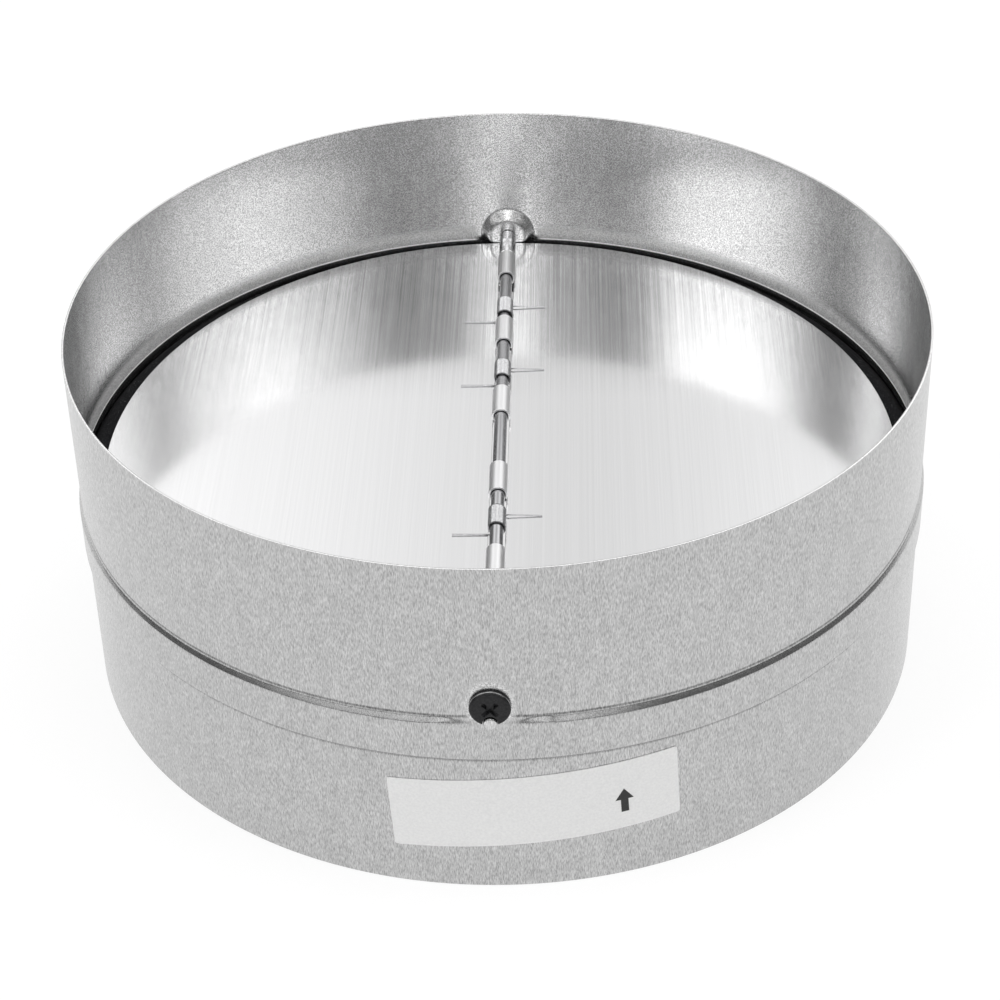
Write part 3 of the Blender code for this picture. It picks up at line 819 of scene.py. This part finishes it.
def springFinish():
    finish = newFinish("springWire", (0.62, 0.62, 0.63), 1.0, 0.3)
    drawn = grain(finish, 2500, detail=2.0)
    # painted shade on the spring's end turn and legs
    ends = multiplied(finish, attribute(finish, "endShade"), 0.5)
    tint = calculated(finish, "SUBTRACT", mapped(finish, drawn, 0.75, 1.0), ends)
    toShader(finish, tinted(finish, tint, (0.06, 0.06, 0.062), (0.64, 0.64, 0.65)), "Base Color")
    toShader(finish, mapped(finish, drawn, 0.2, 0.26), "Roughness")
    embossed(finish, drawn, 0.05, 0.00003)
    return finish


buildSprings(springFinish())
print("springs built")


# screw heads in the dimples, notched for the pip
def headOutline():
    far, near, drop = screw["radius"], screw["notch"], screw["notchDrop"]
    height = (near * near - far * far - drop * drop) / (2 * drop)
    half = math.sqrt(far * far - height * height)
    fromAngle = math.atan2(height, half)
    points = []
    for i in range(screw["arcSteps"] + 1):
        angle = fromAngle + (math.pi - 2 * fromAngle) * i / screw["arcSteps"]
        points.append((far * math.cos(angle), far * math.sin(angle)))
    start = math.atan2(height + drop, -half) + math.tau
    end = math.atan2(height + drop, half)
    for i in range(1, screw["notchSteps"]):
        angle = start + (end - start) * i / screw["notchSteps"]
        points.append((near * math.cos(angle), -drop + near * math.sin(angle)))
    return points


def crossOutline():
    reach, half = screw["slotReach"], screw["slotWidth"] / 2
    arm = [(reach, -half), (reach, half), (half, half)]
    turned = []
    for quarter in range(4):
        turn = quarter * math.pi / 2 + math.pi / 4
        cos, sin = math.cos(turn), math.sin(turn)
        turned += [(x * cos - y * sin, x * sin + y * cos) for x, y in arm]
    return turned


def addLoop(bm, points, height):
    verts = [bm.verts.new((x, y, height)) for x, y in points]
    return [bm.edges.new((verts[i - 1], verts[i])) for i in range(len(verts))]


def buildScrew(side, finish):
    bm = bmesh.new()
    edgeHighlight = bm.faces.layers.float.new("edgeHighlightRing")
    seat = dimples[side]["seat"]
    face = seat + screw["height"]
    rounding = screw["rounding"]
    rim = addLoop(bm, [(x * (1 - rounding / math.hypot(x, y)), y * (1 - rounding / math.hypot(x, y)))
                       for x, y in headOutline()], face)
    cross = addLoop(bm, crossOutline(), face)
    bmesh.ops.triangle_fill(bm, edges=rim + cross, use_beauty=True, use_dissolve=False)
    grown = bmesh.ops.extrude_edge_only(bm, edges=cross)["geom"]
    fresh, floor = freshParts(grown)
    for vert in fresh:
        vert.co.z -= screw["slotDepth"]
        if math.hypot(vert.co.x, vert.co.y) > screw["slotWidth"]:
            vert.co.x *= screw["slotTaper"]
            vert.co.y *= screw["slotTaper"]
    bmesh.ops.triangle_fill(bm, edges=floor, use_beauty=True, use_dissolve=False)
    turns = [math.pi / 2 * i / 5 for i in range(1, 6)]
    rings = [(rounding * (1 - math.sin(turn)), rounding * (1 - math.cos(turn))) for turn in turns]
    rings += [(0.0, rounding + screw["highlightWidth"]), (0.0, screw["height"])]
    loop = rim
    before = rounding
    for number, (inward, drop) in enumerate(rings):
        grown = bmesh.ops.extrude_edge_only(bm, edges=loop)["geom"]
        fresh, loop = freshParts(grown)
        for vert in fresh:
            reach = math.hypot(vert.co.x, vert.co.y)
            share = (reach + before - inward) / reach
            vert.co = (vert.co.x * share, vert.co.y * share, face - drop)
        for item in grown:
            if isinstance(item, bmesh.types.BMFace):
                # painted highlight: a light metallic ring on the head's rounded edge
                item[edgeHighlight] = float(number in (len(turns) - 1, len(turns)))
        before = inward
    bmesh.ops.contextual_create(bm, geom=loop)
    bmesh.ops.recalc_face_normals(bm, faces=bm.faces)
    radius, tip = screw["shank"], screw["shankTip"]
    root, end = seat + screw["shankRoot"], seat - screw["shankLength"]
    shank = [(0.0, root), (radius, root), (radius, end + tip), (radius - tip, end), (0.0, end)]
    joined(bm, spunTube(shank, 32, closed=False))
    alongSpindle(bm, side < 0)
    name = "front_screw" if side < 0 else "rear_screw"
    return finishPiece("pan_" + name, bm, "casing_body", finish, [name], 30.0)


def screwFinish():
    finish = newFinish("blackenedScrew", (0.012, 0.012, 0.013), 0.0, 0.35)
    fine = grain(finish, 3000, detail=2.0)
    soft = grain(finish, 500, detail=2.0)
    edgeHighlight = attribute(finish, "edgeHighlightRing")
    # painted highlight: the edge ring is given a light, metallic colour
    tone = added(finish, mapped(finish, fine, 0.0, 0.03), multiplied(finish, edgeHighlight, 0.9))
    toShader(finish, tinted(finish, tone, (0.006, 0.006, 0.007), (0.5, 0.5, 0.5)), "Base Color")
    toShader(finish, edgeHighlight, "Metallic")
    toShader(finish, mapped(finish, soft, 0.26, 0.42), "Roughness")
    finish.node_tree.nodes["Principled BSDF"].inputs["Specular IOR Level"].default_value = 0.2
    embossed(finish, soft, 0.5, 0.00012, embossed(finish, fine, 0.3, 0.00005))
    return finish


black = screwFinish()
buildScrew(-1, black)
buildScrew(1, black)
print("screws built")


# label: a plain plate with a flow arrow, bent round the casing
label = {
    "turn": 5.3, "middle": 21.6 * mm, "width": 62.8 * mm, "height": 18.7 * mm, "slant": 3.3,
    "lift": 0.04 * mm, "thick": 0.12 * mm, "corner": 0.6 * mm, "slice": 1.5 * mm,
    "arrowAcross": 19.0 * mm, "arrowTop": 1.7 * mm, "arrowLength": 6.5 * mm, "headWidth": 4.1 * mm,
    "headLength": 3.0 * mm, "stemWidth": 1.7 * mm, "inkThick": 0.02 * mm, "inkSlice": 0.7 * mm,
}


def bendRound(bm, lift):
    radius = casing["radius"] + lift
    slant = math.radians(label["slant"])
    for vert in bm.verts:
        across = vert.co.x * math.cos(slant) - vert.co.y * math.sin(slant)
        height = label["middle"] + vert.co.x * math.sin(slant) + vert.co.y * math.cos(slant)
        turn = math.radians(label["turn"]) + across / radius
        reach = radius + vert.co.z
        vert.co = (reach * math.sin(turn), -reach * math.cos(turn), height)


def sliced(bm, width, step):
    count = int(width / step)
    for i in range(1, count):
        bmesh.ops.bisect_plane(bm, geom=bm.verts[:] + bm.edges[:] + bm.faces[:],
                               plane_co=(-width / 2 + width * i / count, 0, 0), plane_no=(1, 0, 0))


def buildLabel(finish, ink):
    bm = bmesh.new()
    bmesh.ops.create_grid(bm, x_segments=1, y_segments=1, size=0.5)
    bmesh.ops.scale(bm, verts=bm.verts, vec=(label["width"], label["height"], 1.0))
    rounded(bm, bm.verts[:], label["corner"], 4, affect="VERTICES")
    sliced(bm, label["width"], label["slice"])
    bmesh.ops.solidify(bm, geom=bm.faces[:], thickness=-label["thick"])
    bmesh.ops.recalc_face_normals(bm, faces=bm.faces)
    bendRound(bm, label["lift"])
    bmesh.ops.recalc_face_normals(bm, faces=bm.faces)
    finishPiece("label_plate", bm, "casing_body", finish)
    bm = bmesh.new()
    head, stem = label["headWidth"] / 2, label["stemWidth"] / 2
    top = label["arrowTop"]
    neck, foot = top - label["headLength"], top - label["arrowLength"]
    addLoop(bm, [(0, top), (head, neck), (stem, neck), (stem, foot),
                 (-stem, foot), (-stem, neck), (-head, neck)], 0.0)
    bmesh.ops.contextual_create(bm, geom=bm.edges[:])
    sliced(bm, label["headWidth"], label["inkSlice"])
    bmesh.ops.solidify(bm, geom=bm.faces[:], thickness=-label["inkThick"])
    bmesh.ops.translate(bm, verts=bm.verts, vec=(label["arrowAcross"], 0, label["thick"]))
    bendRound(bm, label["lift"])
    bmesh.ops.recalc_face_normals(bm, faces=bm.faces)
    finishPiece("label_arrow", bm, "casing_body", ink)


def paperFinish():
    finish = newFinish("labelPaper", (0.68, 0.68, 0.68), 0.0, 0.45)
    fibres = grain(finish, 1800, detail=3.0)
    toShader(finish, tinted(finish, mapped(finish, fibres, 0.0, 1.0), (0.64, 0.64, 0.64),
                            (0.72, 0.72, 0.715)), "Base Color")
    embossed(finish, fibres, 0.05, 0.00004)
    return finish


def inkFinish():
    finish = newFinish("labelInk", (0.008, 0.008, 0.008), 0.0, 0.5)
    fibres = grain(finish, 2400, detail=2.0)
    toShader(finish, tinted(finish, mapped(finish, fibres, 0.0, 1.0), (0.003, 0.003, 0.003),
                            (0.012, 0.012, 0.012)), "Base Color")
    return finish


buildLabel(paperFinish(), inkFinish())
print("label built")


# stage: white floor and the studio round it
studio = {
    # radiance by direction, in degrees from the camera's side, the right-hand side positive
    "around": ((-180, 0.8), (-165, 1.3), (-155, 1.8), (-145, 0.5), (-130, 2.1), (-118, 0.6),
               (-108, 0.3), (-100, 0.9), (-90, 2.0), (-75, 3.1), (-52, 3.0), (-44, 0.8), (-35, 0.3),
               (-22, 0.9), (-12, 0.3), (-5, 3.6), (5, 2.3), (12, 0.3), (22, 0.6), (35, 0.4), (44, 1.6),
               (52, 1.7), (62, 2.3), (75, 2.75), (90, 2.0), (100, 2.0), (108, 1.2), (118, 0.8),
               (130, 1.5), (145, 2.0), (165, 1.3), (180, 0.8)),
    # the band of light below it, from the floor's dark edge up to lowEdge
    "below": ((-180, 0.3), (-62, 0.1), (-45, 0.8), (-10, 1.1), (22, 1.0), (36, 0.1), (180, 0.3)),
    "edge": 0.1, "edgeTop": (0.0, 0.1), "overhead": 1.6,
    "lowEdge": (0.34, 0.52), "highEdge": (0.85, 0.95),
    "floorColor": 0.95, "floorGlow": 0.75, "floorReach": 0.45, "floorDrop": 0.05 * mm,
}


def worldNode(tree, kind, *inputs, **values):
    node = addNode(tree, kind, **values)
    for socket, value in zip(node.inputs, inputs):
        if value is None:
            continue
        if isinstance(value, (int, float)):
            socket.default_value = value
        else:
            tree.links.new(value, socket)
    return node


def smoothed(tree, value, low, high):
    node = addNode(tree, "ShaderNodeMapRange", interpolation_type="SMOOTHSTEP")
    node.inputs["From Min"].default_value = low
    node.inputs["From Max"].default_value = high
    tree.links.new(value, node.inputs["Value"])
    return node.outputs["Result"]


def byDirection(tree, share, table):
    ramp = addNode(tree, "ShaderNodeValToRGB")
    strongest = max(value for turn, value in table)
    stops = ramp.color_ramp.elements
    while len(stops) < len(table):
        stops.new(0.5)
    for stop, (turn, value) in zip(stops, table):
        stop.position = (turn + 180) / 360
        stop.color = (value / strongest,) * 3 + (1.0,)
    tree.links.new(share, ramp.inputs["Fac"])
    level = worldNode(tree, "ShaderNodeMath", ramp.outputs["Color"], strongest, operation="MULTIPLY")
    return level.outputs[0]


def buildStudio():
    world = bpy.data.worlds.new("studio")
    bpy.context.scene.world = world
    world.use_nodes = True
    tree = world.node_tree
    tree.nodes.clear()
    direction = addNode(tree, "ShaderNodeTexCoord").outputs["Generated"]
    parts = worldNode(tree, "ShaderNodeSeparateXYZ", direction).outputs
    flipped = worldNode(tree, "ShaderNodeMath", parts["Y"], -1.0, operation="MULTIPLY").outputs[0]
    angle = worldNode(tree, "ShaderNodeMath", parts["X"], flipped, operation="ARCTAN2").outputs[0]
    share = worldNode(tree, "ShaderNodeMath", angle, 1 / math.tau, 0.5, operation="MULTIPLY_ADD").outputs[0]
    around = byDirection(tree, share, studio["around"])
    below = byDirection(tree, share, studio["below"])
    edge = smoothed(tree, parts["Z"], *studio["edgeTop"])
    below = worldNode(tree, "ShaderNodeMix", edge, None, studio["edge"], below).outputs[0]
    low = smoothed(tree, parts["Z"], *studio["lowEdge"])
    high = smoothed(tree, parts["Z"], *studio["highEdge"])
    lower = worldNode(tree, "ShaderNodeMix", low, None, below, around).outputs[0]
    upper = worldNode(tree, "ShaderNodeMix", high, None, lower, studio["overhead"]).outputs[0]
    shown = worldNode(tree, "ShaderNodeBackground", upper, 1.0).outputs[0]
    white = worldNode(tree, "ShaderNodeBackground").outputs[0]
    white.node.inputs["Color"].default_value = (1.0, 1.0, 1.0, 1.0)
    rays = addNode(tree, "ShaderNodeLightPath").outputs["Is Camera Ray"]
    mixed = worldNode(tree, "ShaderNodeMixShader", rays, shown, white).outputs[0]
    worldNode(tree, "ShaderNodeOutputWorld", mixed)


def buildFloor():
    bm = bmesh.new()
    bmesh.ops.create_circle(bm, cap_ends=True, segments=96, radius=studio["floorReach"])
    bmesh.ops.translate(bm, verts=bm.verts, vec=(0, 0, -studio["floorDrop"]))
    mesh = bpy.data.meshes.new("floor")
    bm.to_mesh(mesh)
    bm.free()
    floor = bpy.data.objects.new("floor", mesh)
    bpy.context.scene.collection.objects.link(floor)
    finish = bpy.data.materials.new("whiteFloor")
    finish.use_nodes = True
    tree = finish.node_tree
    tree.nodes.clear()
    matte = worldNode(tree, "ShaderNodeBsdfDiffuse").outputs[0]
    matte.node.inputs["Color"].default_value = (studio["floorColor"],) * 3 + (1.0,)
    glow = worldNode(tree, "ShaderNodeEmission").outputs[0]
    glow.node.inputs["Color"].default_value = (1.0, 1.0, 1.0, 1.0)
    path = addNode(tree, "ShaderNodeLightPath").outputs
    seen = path["Is Camera Ray"]
    for rays in ("Is Glossy Ray", "Is Transmission Ray"):
        seen = worldNode(tree, "ShaderNodeMath", seen, path[rays], operation="ADD").outputs[0]
    seen = worldNode(tree, "ShaderNodeMath", seen, studio["floorGlow"], operation="MULTIPLY").outputs[0]
    mixed = worldNode(tree, "ShaderNodeMixShader", seen, matte, glow).outputs[0]
    worldNode(tree, "ShaderNodeOutputMaterial", mixed)
    mesh.materials.append(finish)


buildStudio()
buildFloor()
print("stage built")
